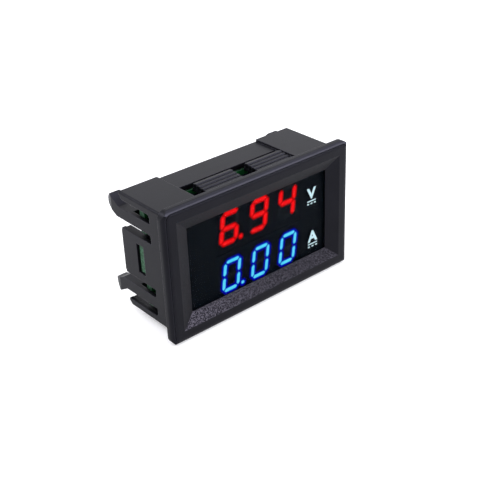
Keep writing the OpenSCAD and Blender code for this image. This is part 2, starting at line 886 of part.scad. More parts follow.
// Metal caps on both ends of each small chip in a list.
module chip_ends(places, len, w, h, end) {
    for (p = places, s = [-1, 1])
        translate([p[0], board_back, p[1]]) rotate([0, 90 * p[2], 0])
            along_y(0, h) translate([s * (len - end) / 2, 0]) square([end, w], center = true);
}

module resistors() {
    color("#1c1c1e") chip_middles(RESISTORS, resistor_len, resistor_w, resistor_h, resistor_end);
}

module resistor_ends() {
    color("silver") chip_ends(RESISTORS, resistor_len, resistor_w, resistor_h, resistor_end);
}

module capacitors() {
    color("#b89a72") chip_middles(CAPACITORS, capacitor_len, capacitor_w, capacitor_h, capacitor_end);
}

module capacitor_ends() {
    color("silver") chip_ends(CAPACITORS, capacitor_len, capacitor_w, capacitor_h, capacitor_end);
}

housing();
filter_window();
circuit_board();
red_display_body();
red_lit_segments();
red_idle_segments();
blue_display_body();
blue_lit_segments();
blue_idle_segments();
display_pins();
solder_joints();
supply_header();
supply_header_pins();
load_header();
load_header_pins();
voltage_trimmer_base();
voltage_trimmer_rotor();
current_trimmer_base();
current_trimmer_rotor();
microcontroller();
microcontroller_leads();
amplifier();
amplifier_leads();
regulator();
regulator_leads();
diode();
diode_terminals();
shunt();
resistors();
resistor_ends();
capacitors();
capacitor_ends();
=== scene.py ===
# %% [markdown]
# # A panel meter with two stacked displays
#
# This lesson dresses a small panel meter: a one-piece moulded housing that snaps into a
# panel, a tinted window, two three-digit displays, and the circuit board behind them.
# The solid parts come from the CAD model as a fixed frame. Blender adds what the eye
# reads: plastics, light, ink, copper and solder. Sizes are written in millimetres unless
# a comment says metres, and MM turns them into the metres that Blender uses.

# %% Tools and the frame
import math

import bmesh
import bpy
from mathutils import Matrix, Vector


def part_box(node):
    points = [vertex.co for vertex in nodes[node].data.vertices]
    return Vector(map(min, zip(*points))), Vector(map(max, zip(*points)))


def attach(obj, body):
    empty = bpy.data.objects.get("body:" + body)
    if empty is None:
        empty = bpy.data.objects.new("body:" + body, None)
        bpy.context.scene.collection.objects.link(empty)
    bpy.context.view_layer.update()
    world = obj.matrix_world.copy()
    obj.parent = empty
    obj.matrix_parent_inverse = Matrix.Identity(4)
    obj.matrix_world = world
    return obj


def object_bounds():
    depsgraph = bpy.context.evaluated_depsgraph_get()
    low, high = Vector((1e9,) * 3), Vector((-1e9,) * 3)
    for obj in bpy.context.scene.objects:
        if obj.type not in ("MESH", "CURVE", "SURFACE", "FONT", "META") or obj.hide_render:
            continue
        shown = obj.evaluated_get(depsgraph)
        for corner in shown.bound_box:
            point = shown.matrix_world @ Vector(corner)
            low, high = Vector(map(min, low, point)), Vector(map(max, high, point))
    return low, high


MM = 0.001
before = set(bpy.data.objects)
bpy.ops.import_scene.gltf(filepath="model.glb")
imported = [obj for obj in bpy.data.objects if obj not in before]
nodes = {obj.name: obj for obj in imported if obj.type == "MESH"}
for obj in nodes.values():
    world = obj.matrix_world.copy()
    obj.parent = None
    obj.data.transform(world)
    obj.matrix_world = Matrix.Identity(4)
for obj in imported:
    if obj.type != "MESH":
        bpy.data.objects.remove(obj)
cad_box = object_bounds()
print("CAD box in mm:", [[round(c / MM, 2) for c in corner] for corner in cad_box])

# %% [markdown]
# ## One way to add a node
#
# Shader trees and Geometry Nodes trees are both built from nodes with settings, values
# and links. One function adds a node with all three, so that each material reads as a
# list of its nodes. Colours are written as the hex values that people pick, and one
# function turns them into the linear values that light is computed with.

# %% Node and colour helpers
def linear(hex_colour):
    """Linear RGBA of an sRGB colour written as hex."""
    parts = [int(hex_colour[i:i + 2], 16) / 255 for i in (1, 3, 5)]
    return [p / 12.92 if p <= 0.04045 else ((p + 0.055) / 1.055) ** 2.4 for p in parts] + [1.0]


def fill(node, inputs):
    """Give a node's inputs values or links.

    A node stands for its first output, and a hex colour for its linear values.
    """
    for key, value in inputs.items():
        if isinstance(value, bpy.types.Node):
            value = value.outputs[0]
        if isinstance(value, bpy.types.NodeSocket):
            node.id_data.links.new(value, node.inputs[key])
        elif isinstance(value, str) and value.startswith("#"):
            node.inputs[key].default_value = linear(value)
        else:
            node.inputs[key].default_value = value


def add(tree, kind, settings=None, inputs=None):
    """Add a node, set its properties and fill its inputs."""
    node = tree.nodes.new(kind)
    for name, value in (settings or {}).items():
        setattr(node, name, value)
    fill(node, inputs or {})
    return node


print("mid grey is", [round(c, 3) for c in linear("#808080")])

# %% [markdown]
# ## Camera
#
# A meter like this is usually shown from the upper left, so that its front, top and one
# side are all seen. The camera stands about 200 mm away with a long lens, which keeps the
# edges nearly parallel, and it leans a little to one side.

# %% Camera
CAMERA_PLACE = Vector((-111.67, -130.62, 95.33)) * MM
CAMERA_AZIMUTH = math.radians(-39.596)
CAMERA_ELEVATION = math.radians(29.455)
CAMERA_ROLL = math.radians(-2.368)
CAMERA_LENS = 69.48
SENSOR_WIDTH = 36
NEAR_LIMIT = 10 * MM
FAR_LIMIT = 10000 * MM


def place_object(name, data):
    """A new object with its data, linked to the scene."""
    made = bpy.data.objects.new(name, data)
    bpy.context.scene.collection.objects.link(made)
    return made


camera_data = bpy.data.cameras.new("camera")
camera_data.lens = CAMERA_LENS
camera_data.sensor_width = SENSOR_WIDTH
camera_data.clip_start = NEAR_LIMIT
camera_data.clip_end = FAR_LIMIT
camera = place_object("camera", camera_data)
camera.matrix_world = (
    Matrix.Translation(CAMERA_PLACE)
    @ Matrix.Rotation(CAMERA_AZIMUTH, 4, "Z")
    @ Matrix.Rotation(math.pi / 2 - CAMERA_ELEVATION, 4, "X")
    @ Matrix.Rotation(CAMERA_ROLL, 4, "Z")
)
bpy.context.scene.camera = camera
print("camera stands", round(CAMERA_PLACE.length / MM), "mm from the cut-out's centre")

# %% [markdown]
# ## Where a material starts
#
# Every finish starts as a Principled shader with the colour, roughness and refractive
# index of the real stuff, and is named for it. What is the same all over a surface is set
# on the shader itself, and only what varies comes through other nodes.

# %% Starting a material
def start_material(name, colour, roughness, metallic=0.0, ior=1.5, specular=0.5):
    """A Principled material with plain values; returns the material, its tree and shader."""
    material = bpy.data.materials.new(name)
    material.use_nodes = True
    shader = material.node_tree.nodes["Principled BSDF"]
    fill(shader, {"Base Color": colour, "Roughness": roughness, "Metallic": metallic,
                  "IOR": ior, "Specular IOR Level": specular})
    return material, material.node_tree, shader

# %% [markdown]
# ## Floor and backdrop
#
# The studio is a sweep of matt white paper in a white room. Paper and room show white to
# the camera, to reflections and through clear things, but they light the object only at a
# plain level, and the paper keeps the object's soft shadow. Stronger lamps could whiten
# the paper too, but they would wash out the dark plastic.

# %% Floor and world
FLOOR_HALF = 1.2  # metres
FLOOR_LIFT = 0.32
WORLD_LEVEL = 0.75


def seen_directly(tree):
    """1 for rays from the camera, off glossy surfaces or through clear ones, else 0."""
    path = add(tree, "ShaderNodeLightPath").outputs
    seen = path["Is Camera Ray"]
    for kind in ("Is Glossy Ray", "Is Transmission Ray"):
        seen = add(tree, "ShaderNodeMath", {"operation": "MAXIMUM"}, {0: seen, 1: path[kind]})
    return seen


floor_z = cad_box[0].z
floor_mesh = bpy.data.meshes.new("floor")
floor_mesh.from_pydata(
    [(x * FLOOR_HALF, y * FLOOR_HALF, floor_z) for x, y in ((-1, -1), (1, -1), (1, 1), (-1, 1))],
    [], [(0, 1, 2, 3)],
)
floor = place_object("floor", floor_mesh)

paper, tree, shader = start_material("matt white paper sweep", "#EDEDED", 1.0, specular=0.0)
lift = add(tree, "ShaderNodeMath", {"operation": "MULTIPLY"}, {0: seen_directly(tree), 1: FLOOR_LIFT})
glow = add(tree, "ShaderNodeEmission", None, {"Strength": lift})
both = add(tree, "ShaderNodeAddShader", None, {0: shader, 1: glow})
fill(tree.nodes["Material Output"], {"Surface": both})
floor_mesh.materials.append(paper)

world = bpy.data.worlds.new("white studio")
world.use_nodes = True
bpy.context.scene.world = world
tree = world.node_tree
level = add(tree, "ShaderNodeMapRange", None,
            {"Value": seen_directly(tree), "To Min": WORLD_LEVEL, "To Max": 1.0})
fill(tree.nodes["Background"], {"Strength": level, "Color": "#FFFFFF"})
print("floor lies at z =", round(floor_z / MM, 2), "mm")

# %% [markdown]
# ## Soft lamps
#
# Six square lamps stand in for soft boxes, and their light is a little cool. One overhead
# lights the top, and a weak one at the left fills in. The others stand where the surfaces
# mirror them to the camera: the low one in front at the right in the slope below the
# window, the high one above it in the rounding along the front's upper edge, the one
# behind in the top wall, and the one behind at the left in edges between top and side.
# One large lamp would light it all evenly, and every edge would be lost.

# %% Lamps
LAMPS = {
    # name: (direction to the lamp, distance m, size m, power W)
    "overhead": ((-0.25, -0.1, 1.0), 0.45, 0.35, 0.7),
    "left": ((-1.0, 0.15, 0.45), 0.45, 0.25, 0.03),
    "low_front_right": ((0.50, -0.85, 0.15), 0.45, 0.20, 0.12),
    "high_front_right": ((0.54, -0.58, 0.62), 0.50, 0.24, 1.6),
    "behind": ((0.55, 0.65, 0.47), 0.60, 0.45, 0.55),
    "behind_left": ((-0.485, 0.664, 0.568), 0.50, 0.16, 1.0),
}
LAMP_COLOUR = (0.92, 0.92, 1.0)
for name, (way, distance, size, power) in LAMPS.items():
    data = bpy.data.lights.new(name, "AREA")
    data.shape = "SQUARE"
    data.size = size
    data.energy = power
    data.color = LAMP_COLOUR
    lamp = place_object(name, data)
    lamp.location = Vector(way).normalized() * distance
    lamp.rotation_mode = "QUATERNION"
    lamp.rotation_quaternion = Vector(way).to_track_quat("Z", "Y")
scene = bpy.context.scene
scene.view_settings.view_transform = "Standard"
print("lamps:", ", ".join(LAMPS))

# %% [markdown]
# ## How a surface varies
#
# No real surface is one flat colour. Noise in object space, at sizes in millimetres, lets
# colour and roughness drift together between two close values, and the same noise can
# raise a faint relief. Most plastics, inks and metals here need no more than that.

# %% Drifting colour, roughness and relief
def per_mm(size):
    """Texture scale at which one feature is about `size` millimetres wide."""
    return 1 / (size * MM)


def blobs(tree, size, low=0.3, high=0.7, to_low=0.0, to_high=1.0, detail=2.0):
    """Soft blobs about `size` mm wide in object space, from to_low to to_high."""
    place = add(tree, "ShaderNodeTexCoord").outputs["Object"]
    cloud = add(tree, "ShaderNodeTexNoise", None,
                {"Vector": place, "Scale": per_mm(size), "Detail": detail})
    return add(tree, "ShaderNodeMapRange", None, {
        "Value": cloud, "From Min": low, "From Max": high, "To Min": to_low, "To Max": to_high,
    })


def two_tone(name, tones, size, roughness, relief=None, detail=2.0, **start):
    """A material that drifts between two tones and two roughnesses in blobs `size` mm wide.

    relief is the depth of the blobs in mm and how strongly it shows.
    """
    material, tree, shader = start_material(name, tones[0], roughness[0], **start)
    drift = blobs(tree, size, 0.35, 0.65, detail=detail)
    colour = add(tree, "ShaderNodeMix", {"data_type": "RGBA"}, {"Factor": drift, 6: tones[0], 7: tones[1]})
    polish = add(tree, "ShaderNodeMapRange", None,
                 {"Value": drift, "To Min": roughness[0], "To Max": roughness[1]})
    fill(shader, {"Base Color": colour.outputs[2], "Roughness": polish})
    if relief:
        bump = add(tree, "ShaderNodeBump", None,
                   {"Height": drift, "Distance": relief[0] * MM, "Strength": relief[1]})
        fill(shader, {"Normal": bump})
    return material


def dress(material, *names):
    """Give CAD nodes a material in place of the one they came with."""
    for name in names:
        slots = nodes[name].data.materials
        slots.clear()
        slots.append(material)
    print(f"{material.name}: {', '.join(names)}")


print("a feature 1 mm wide has texture scale", per_mm(1.0))

# %% [markdown]
# ## Black ABS housing
#
# The housing is injection moulded from black ABS. Its mould was spark eroded, which
# leaves a fine satin grain. The real grain is a few hundredths of a millimetre wide, so
# it is drawn at 0.1 mm to show at all. On the slopes round the window it is coarser, and
# drawn at 0.25 mm. On the slope that faces up its tips carry a painted highlight, which
# is strongest at the left.
# The grain could be painted on as an image, but noise in object space needs no unwrapping
# and keeps its size on every face.
#
# The plastic is nearly black, so most of what is seen is the studio reflected in the
# skin. Handling rubs the edges smoother, and their colour is painted lighter as a painted
# highlight. A Bevel node finds sharp edges by comparing rounded and flat normals, and the
# broad roundings that face forward and up, which carry the same painted highlight, are
# found by the way they aim.

# %% Black ABS: grain and masks
RIM_HALF_WIDTH = 21.85
RIM_HALF_HEIGHT = 12.25
RIM_FRONT = cad_box[0].y / MM
COARSE_DEPTH = 1.5
FINE_GRAIN = 0.10
COARSE_GRAIN = 0.25
GRAIN_DEPTH = 0.008
PATCH_SIZE = 6.0
EDGE_RADIUS = 0.18
RUBBED_ROUGHNESS = 0.24

black_abs, tree, shader = start_material(
    "black ABS, spark-eroded mould", "#09090C", 0.42, ior=1.53, specular=0.11)
surface = add(tree, "ShaderNodeTexCoord").outputs
place = add(tree, "ShaderNodeSeparateXYZ", None, {0: surface["Object"]}).outputs
aim = add(tree, "ShaderNodeSeparateXYZ", None, {0: surface["Normal"]}).outputs


def all_of(tree, mask, *others):
    """The product of masks, high only where every one of them is high."""
    for other in others:
        mask = add(tree, "ShaderNodeMath", {"operation": "MULTIPLY"}, {0: mask, 1: other})
    return mask


near_front = add(tree, "ShaderNodeMath", {"operation": "LESS_THAN"},
                 {0: place["Y"], 1: (RIM_FRONT + COARSE_DEPTH) * MM})
inside_rim = [
    add(tree, "ShaderNodeMath", {"operation": "COMPARE"}, {0: place[axis], 1: 0.0, 2: half * MM})
    for axis, half in (("X", RIM_HALF_WIDTH), ("Z", RIM_HALF_HEIGHT))
]
slopes = all_of(tree, near_front, *inside_rim)
fine = add(tree, "ShaderNodeTexNoise", None,
           {"Vector": surface["Object"], "Scale": per_mm(FINE_GRAIN)})
coarse = add(tree, "ShaderNodeTexNoise", None, {
    "Vector": surface["Object"], "Scale": per_mm(COARSE_GRAIN), "Detail": 1.0, "Roughness": 0.7,
})
rounded_normal = add(tree, "ShaderNodeBevel", {"samples": 6}, {"Radius": EDGE_RADIUS * MM})
flat = add(tree, "ShaderNodeNewGeometry").outputs["Normal"]
match = add(tree, "ShaderNodeVectorMath", {"operation": "DOT_PRODUCT"}, {0: rounded_normal, 1: flat})
RAMPS = {
    # mask: (what it reads, where it is 0, where it is 1)
    "edge": (match.outputs["Value"], 0.995, 0.85),
    "rising": (aim["Z"], 0.05, 0.25),
    "upward": (aim["Z"], 0.2, 0.35),
    "forward": (aim["Y"], -0.2, -0.4),
    "not_square": (aim["Y"], -0.9, -0.86),
    "grain_tip": (coarse, 0.42, 0.62),
}
masks = {
    name: add(tree, "ShaderNodeMapRange", None, {"Value": value, "From Min": low, "From Max": high})
    for name, (value, low, high) in RAMPS.items()
}
print("coarse grain reaches", COARSE_DEPTH, "mm behind the front at y =", round(RIM_FRONT, 2), "mm")

# %% Black ABS: colour, roughness and relief
# Painted highlight: the grain's tips on the slope that faces up are painted pale, more towards the left end
sheen_stronger_left = add(tree, "ShaderNodeMapRange", None, {
    "Value": place["X"], "From Min": -19 * MM, "From Max": 4 * MM, "To Min": 0.9, "To Max": 0.4,
})
painted_sheen_tips = all_of(tree, slopes, masks["rising"], sheen_stronger_left, masks["grain_tip"])
# Painted highlight: sharp edges and the roundings that face forward and up are painted lighter, and the
# same mask makes them smoother
rounding = all_of(tree, masks["upward"], masks["forward"], masks["not_square"])
polish_and_highlight = add(tree, "ShaderNodeMath", {"operation": "MAXIMUM"}, {0: masks["edge"], 1: rounding})
# Each tone covers what lies under it: even skin, mottled patches, then a painted highlight on the grain's
# tips, and a painted highlight on edges and roundings
colour = "#08080B"
for amount, tone in ((blobs(tree, PATCH_SIZE), "#0D0D11"), (painted_sheen_tips, "#605C67"), (polish_and_highlight, "#2C2C33")):
    layer = add(tree, "ShaderNodeMix", {"data_type": "RGBA"}, {"Factor": amount, 6: colour, 7: tone})
    colour = layer.outputs[2]
height = add(tree, "ShaderNodeMix", {"data_type": "FLOAT"}, {"Factor": slopes, 2: fine, 3: coarse})
satin = add(tree, "ShaderNodeMapRange", None, {
    "Value": height, "From Min": 0.3, "From Max": 0.7, "To Min": 0.36, "To Max": 0.5,
})
roughness = add(tree, "ShaderNodeMix", {"data_type": "FLOAT"},
                {"Factor": polish_and_highlight, 2: satin, 3: RUBBED_ROUGHNESS})
bump = add(tree, "ShaderNodeBump", None, {
    "Height": height, "Distance": GRAIN_DEPTH * MM, "Strength": 0.5, "Normal": rounded_normal,
})
fill(shader, {"Specular Tint": "#E8E8FF", "Base Color": colour, "Roughness": roughness,
              "Normal": bump})
dress(black_abs, "housing")

# %% [markdown]
# ## Geometry Nodes, in three moves
#
# What repeats or follows a path is grown by Geometry Nodes. Each group starts with one
# named input for each size, and ends by making instances real and giving them a material.
# It can be run again with other sizes, and each result is kept as a plain mesh that rides
# on the meter.

# %% Geometry Nodes helpers
def start_group(name, **sizes):
    """A Geometry Nodes group with a way in and out and one named input for each size."""
    tree = bpy.data.node_groups.new(name, "GeometryNodeTree")
    for way in ("OUTPUT", "INPUT"):
        tree.interface.new_socket("Geometry", in_out=way, socket_type="NodeSocketGeometry")
    for label, kind in sizes.items():
        tree.interface.new_socket(label, in_out="INPUT", socket_type=f"NodeSocket{kind}")
    return tree, add(tree, "NodeGroupInput").outputs


def end_group(tree, geometry, material):
    """Make instances real, give them their material and send them out."""
    real = add(tree, "GeometryNodeRealizeInstances", None, {0: geometry})
    dressed = add(tree, "GeometryNodeSetMaterial", None, {"Geometry": real, "Material": material})
    add(tree, "NodeGroupOutput", None, {0: dressed})


def keep(name, mesh):
    """Turn a mesh into a piece that rides on the meter."""
    piece = place_object(name, mesh)
    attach(piece, "meter")
    mesh.calc_loop_triangles()
    print(f"{name}: {len(mesh.loop_triangles)} triangles")


def grow(name, tree, start, slot, **sizes):
    """Run a group on a mesh with its inputs set, and keep what it grows as a plain mesh."""
    seed = place_object(name + "_seed", start)
    run = seed.modifiers.new("grow", "NODES")
    run.node_group = tree
    sockets = {item.name: item.identifier for item in tree.interface.items_tree
               if item.in_out == "INPUT"}
    for label, size in sizes.items():
        run[sockets[label]] = size
    grown = seed.evaluated_get(bpy.context.evaluated_depsgraph_get())
    mesh = bpy.data.meshes.new_from_object(grown)
    bpy.data.objects.remove(seed)
    keep(name, mesh)

# %% [markdown]
# ## Ratchet ribs
#
# On the real tongues the ribs rise step by step towards the back, so that they grip
# panels of several thicknesses. One rib has a short slanted front and then falls a little
# towards the back. An Array modifier could repeat it too. Here Geometry Nodes puts the
# same rib on the points of a line that climbs with each step, so that one group with a
# count and a step serves both walls.

# %% Rising ribs
RIB_TONGUES = ((-10.0, -0.35), (3.65, 13.3))
RIB_COUNT = 4
RIB_PITCH = 1.1
RIB_FRONT = 3.45
RIB_FOOT = 12.05
RIB_SLANT = 0.25
RIB_RISE = 0.12
RIB_FALL = 0.14
RIB_CREST = 12.9


def shape_mesh(name, work, material):
    """A finished mesh from a bmesh, with outward faces and one material."""
    bmesh.ops.recalc_face_normals(work, faces=work.faces)
    mesh = bpy.data.meshes.new(name)
    work.to_mesh(mesh)
    work.free()
    mesh.materials.append(material)
    return mesh


def rib_mesh(name, side):
    """The first rib of both tongues on the upper (1) or lower (-1) wall."""
    work = bmesh.new()
    back = RIB_FRONT + RIB_PITCH
    section = [(RIB_FRONT, RIB_FOOT), (RIB_FRONT, RIB_CREST - RIB_FALL),
               (RIB_FRONT + RIB_SLANT, RIB_CREST), (back, RIB_CREST - RIB_FALL), (back, RIB_FOOT)]
    for tongue in RIB_TONGUES:
        ends = [[work.verts.new((x * MM, y * MM, side * z * MM)) for y, z in section] for x in tongue]
        work.faces.new(ends[0])
        work.faces.new(reversed(ends[1]))
        for i in range(len(section)):
            j = (i + 1) % len(section)
            work.faces.new((ends[0][j], ends[0][i], ends[1][i], ends[1][j]))
    return shape_mesh(name, work, black_abs)


def climbing_group(name, material):
    """The mesh again and again along a straight line of equal steps."""
    tree, size = start_group(name, Count="Int", Step="Vector")
    line = add(tree, "GeometryNodeMeshLine", None, {"Count": size["Count"], "Offset": size["Step"]})
    row = add(tree, "GeometryNodeInstanceOnPoints", None,
              {"Points": line, "Instance": size["Geometry"]})
    end_group(tree, row, material)
    return tree


climb = climbing_group("climbing row", black_abs)
for wall, side in (("upper", 1), ("lower", -1)):
    grow(f"{wall}_catch_ribs", climb, rib_mesh(f"{wall} rib", side), "black_abs",
         Count=RIB_COUNT, Step=Vector((0, RIB_PITCH, side * RIB_RISE)) * MM)

# %% [markdown]
# ## Smoked filter window
#
# A sheet of smoked acrylic hides the displays until they are lit. Its anti-glare face
# mirrors much less than clear glass would. The sheet covers only part of what lies behind
# it, and looks nearly black because all of that is dark: the display bodies, and black
# ink on its back that hides the board all round them. Light could be bent through it as
# through glass, but so thin a sheet bends it hardly at all, and plain alpha is enough.

# %% Smoked acrylic
smoked, tree, shader = start_material("smoked anti-glare acrylic", "#03080E", 0.24, ior=1.49, specular=0.03)
fill(shader, {"Alpha": 0.15, "Roughness": blobs(tree, 3.0, to_low=0.21, to_high=0.27)})
dress(smoked, "filter_window")

# %% Ink border behind the filter
INK_THICKNESS = 0.015
INK_GAP = 0.002
INK_INSET = 0.2
DISPLAY_LAP = 0.12


def box_mm(node):
    """Lowest and highest corner of a CAD node in millimetres."""
    return tuple(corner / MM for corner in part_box(node))


def plate(work, outline, y0, y1, hole=None):
    """Add a closed flat part: an outline of (x, z) points in mm between depths y0 and y1."""
    rings = [[work.verts.new((x * MM, y * MM, z * MM)) for x, z in ring]
             for ring in ([outline] if hole is None else [outline, hole]) for y in (y0, y1)]
    count = len(outline)
    for i in range(count):
        j = (i + 1) % count
        work.faces.new((rings[0][i], rings[0][j], rings[1][j], rings[1][i]))
        if hole is not None:
            work.faces.new((rings[2][j], rings[2][i], rings[3][i], rings[3][j]))
            work.faces.new((rings[0][j], rings[0][i], rings[2][i], rings[2][j]))
            work.faces.new((rings[1][i], rings[1][j], rings[3][j], rings[3][i]))
    if hole is None:
        work.faces.new(reversed(rings[0]))
        work.faces.new(rings[1])


def rectangle(x0, z0, x1, z1, grow_by=0.0):
    """Corners of an upright rectangle, made larger on all sides by grow_by."""
    x0, z0, x1, z1 = x0 - grow_by, z0 - grow_by, x1 + grow_by, z1 + grow_by
    return [(x0, z0), (x1, z0), (x1, z1), (x0, z1)]


border_ink = two_tone("black screen ink", ("#04080D", "#070C13"), 1.2, (0.55, 0.7), specular=0.04)
filter_low, filter_high = box_mm("filter_window")
lower_left = box_mm("blue_display_body")[0]
upper_right = box_mm("red_display_body")[1]
ink_front = filter_high.y + INK_GAP
work = bmesh.new()
plate(work, rectangle(filter_low.x, filter_low.z, filter_high.x, filter_high.z, -INK_INSET),
      ink_front, ink_front + INK_THICKNESS,
      rectangle(lower_left.x, lower_left.z, upper_right.x, upper_right.z, -DISPLAY_LAP))
keep("ink_border", shape_mesh("ink_border", work, border_ink))

# %% [markdown]
# ## Display bodies and idle segments
#
# Each display is a block of black epoxy with slanted windows for its segments. A segment
# that is off is a milky window with no light behind it, so it is barely lighter. Both are
# CAD solids of their own, so neither has to be drawn: each only needs its finish.

# %% Display epoxy
display_epoxy = two_tone("black display epoxy", ("#04080E", "#070C14"), 2.5, (0.5, 0.6), specular=0.04)
dress(display_epoxy, "red_display_body", "blue_display_body")

milky = two_tone("milky epoxy window, unlit", ("#0C1116", "#11171C"), 0.8, (0.4, 0.5), specular=0.08)
dress(milky, "red_idle_segments", "blue_idle_segments")

# %% [markdown]
# ## Lit segments
#
# A lit segment is a little window with a lamp chip behind it. The segment itself is the
# CAD solid with an emissive finish, which drifts a little between two colours. Its own
# surface is dark and hardly mirrors, so that the studio doesn't make its colour pale. A
# lamp could be set behind each window, but its light would stay inside the solid. The
# filter keeps back some of the light, so the segments glow more than they look.

# %% Lamp epoxies
FILTER_GAIN = 1.25


def lamp_epoxy(name, core, rim):
    """Emissive epoxy whose glow drifts a little between two colours."""
    material, tree, shader = start_material(name, "#101010", 0.4, specular=0.03)
    glow = add(tree, "ShaderNodeMix", {"data_type": "RGBA"}, {"Factor": blobs(tree, 1.6), 6: rim, 7: core})
    fill(shader, {"Emission Color": glow.outputs[2], "Emission Strength": FILTER_GAIN})
    return material


dress(lamp_epoxy("red lamp epoxy", "#FF0A10", "#F0060C"), "red_lit_segments")
dress(lamp_epoxy("blue lamp epoxy", "#62E2FF", "#46D0FF"), "blue_lit_segments")
print("lamps glow", FILTER_GAIN, "times, because the filter keeps back some of their light")

# %% [markdown]
# ## Light that leaks round the segments
#
# Some light leaks sideways into the face of the display, so each segment has a soft
# deeper-coloured edge, and the gaps between segments glow. The leak is a film in front of
# the display, grown by Geometry Nodes: a fine grid measures how far each of its points
# lies from the segments, and stores how much light shows there as an attribute, which the
# film's material turns into light. A blur over the finished render would glow as well,
# but a film belongs to the model and shows from every side.

# %% Light leak film
def leak_film(name, colour):
    """Clear film that glows where its stored leak is high."""
    material, tree, shader = start_material(name, "#000000", 0.6, specular=0.0)
    leak = add(tree, "ShaderNodeAttribute", {"attribute_name": "leak"}).outputs["Fac"]
    ripple = blobs(tree, 0.5, 0.2, 0.8, 0.85, 1.0)
    fill(shader, {"Emission Color": colour, "Emission Strength": FILTER_GAIN,
                  "Alpha": all_of(tree, leak, ripple)})
    return material


def leak_group(name, material):
    """A closed film of grid cells in front of the segments, with its leak stored."""
    tree, size = start_group(name, Centre="Vector", Width="Float", Height="Float", Film="Float",
                             Cell="Float", Reach="Float", Soft="Float")
    corner = add(tree, "ShaderNodeCombineXYZ", None,
                 {0: size["Width"], 1: size["Film"], 2: size["Height"]})
    columns, rows = [
        add(tree, "ShaderNodeMath", {"operation": "DIVIDE"}, {0: size[side], 1: size["Cell"]})
        for side in ("Width", "Height")
    ]
    grid = add(tree, "GeometryNodeMeshCube", None, {
        "Size": corner, "Vertices X": columns, "Vertices Y": 2, "Vertices Z": rows,
    })
    film = add(tree, "GeometryNodeTransform", None, {"Geometry": grid, "Translation": size["Centre"]})
    away, leak = {}, {}
    for element, reach, strongest in (("FACES", "Reach", 0.8), ("EDGES", "Soft", 0.35)):
        near = add(tree, "GeometryNodeProximity", {"target_element": element}, {0: size["Geometry"]})
        away[element] = near.outputs["Distance"]
        leak[element] = add(tree, "ShaderNodeMapRange", {"interpolation_type": "SMOOTHSTEP"}, {
            "Value": away[element], "From Min": 0.0, "From Max": size[reach],
            "To Min": strongest, "To Max": 0.0,
        })
    # A point nearer to a segment than two films lies over it
    two_films = add(tree, "ShaderNodeMath", {"operation": "MULTIPLY"}, {0: size["Film"], 1: 2.0})
    over = add(tree, "FunctionNodeCompare", {"data_type": "FLOAT", "operation": "LESS_THAN"},
               {0: away["FACES"], 1: two_films})
    shown = add(tree, "GeometryNodeSwitch", {"input_type": "FLOAT"},
                {"Switch": over, "False": leak["FACES"], "True": leak["EDGES"]})
    stored = add(tree, "GeometryNodeStoreNamedAttribute", {"data_type": "FLOAT", "domain": "POINT"},
                 {"Geometry": film, "Name": "leak", "Value": shown})
    end_group(tree, stored, material)
    return tree

# %% Light leaks
FILM_THICKNESS = 0.02
FILM_CELL = 0.13
FILM_INSET = 0.2
WELD = 0.001
FLAT_WITHIN = math.radians(1)
LEAKS = {
    # display: (colour of the leak, how far it reaches in mm, soft inner edge in mm)
    "red": ("#D80A08", 0.32, 0.12),
    "blue": ("#0204C0", 0.60, 0.18),
}


def merged_copy(node):
    """A copy of a CAD node's mesh with its corners joined and its flat faces made whole."""
    work = bmesh.new()
    work.from_mesh(nodes[node].data)
    bmesh.ops.remove_doubles(work, verts=work.verts, dist=WELD * MM)
    bmesh.ops.dissolve_limit(work, angle_limit=FLAT_WITHIN, verts=work.verts, edges=work.edges)
    mesh = bpy.data.meshes.new(node + "_copy")
    work.to_mesh(mesh)
    work.free()
    return mesh


for display, (colour, reach, soft) in LEAKS.items():
    low, high = box_mm(f"{display}_display_body")
    centre = (low + high) / 2
    centre.y = low.y - FILM_THICKNESS
    film = leak_film(f"{display} light in the display's face", colour)
    grow(
        f"{display}_light_leak", leak_group(f"{display} light leak", film),
        merged_copy(f"{display}_lit_segments"), f"{display}_light",
        Centre=centre * MM, Width=(high.x - low.x - 2 * FILM_INSET) * MM,
        Height=(high.z - low.z - 2 * FILM_INSET) * MM, Film=FILM_THICKNESS * MM,
        Cell=FILM_CELL * MM, Reach=reach * MM, Soft=soft * MM,
    )

# %% [markdown]
# ## Printed legends
#
# Pale ink on the front of the filter says what each row shows: V for volts and A for
# amperes, each over the sign for direct current, a bar above three dashes. The letters
# could be drawn stroke by stroke, but text turned into flat solids keeps its strokes
# even, and the curve's offset makes them bolder.

# %% Legends
LEGENDS = {
    # letter: its box (x0, z0, x1, z1) and the middle heights of the bar and of the dashes
    "V": ((13.45, 4.0, 16.15, 6.55), 3.47, 2.85),
    "A": ((13.62, -6.6, 16.55, -3.85), -7.07, -7.72),
}
LEGEND_THICKNESS = 0.02
LETTER_BOLDNESS = 0.035
TEXT_DEPTH = 0.5  # any will do, since the letter is then pressed flat
LETTER_WELD = 0.0005
BAR_INSET = 0.1
BAR_HEIGHT = 0.26
DASH_HEIGHT = 0.30
DASH_COUNT = 3


def letter_into(work, letter, box, y):
    """Add a bold letter, stretched to its box, as a flat solid on the plane y."""
    text = bpy.data.curves.new(letter, "FONT")
    text.body = letter
    text.offset = LETTER_BOLDNESS
    text.extrude = TEXT_DEPTH
    holder = place_object(letter, text)
    solid = holder.evaluated_get(bpy.context.evaluated_depsgraph_get())
    mesh = bpy.data.meshes.new_from_object(solid)
    bpy.data.objects.remove(holder)
    low, high = ([pick(v.co[i] for v in mesh.vertices) for i in range(3)] for pick in (min, max))
    x0, z0, x1, z1 = box
    for v in mesh.vertices:
        across, up, out = ((v.co[i] - low[i]) / (high[i] - low[i]) for i in range(3))
        v.co = Vector((x0 + across * (x1 - x0), y - out * LEGEND_THICKNESS, z0 + up * (z1 - z0))) * MM
    work.from_mesh(mesh)


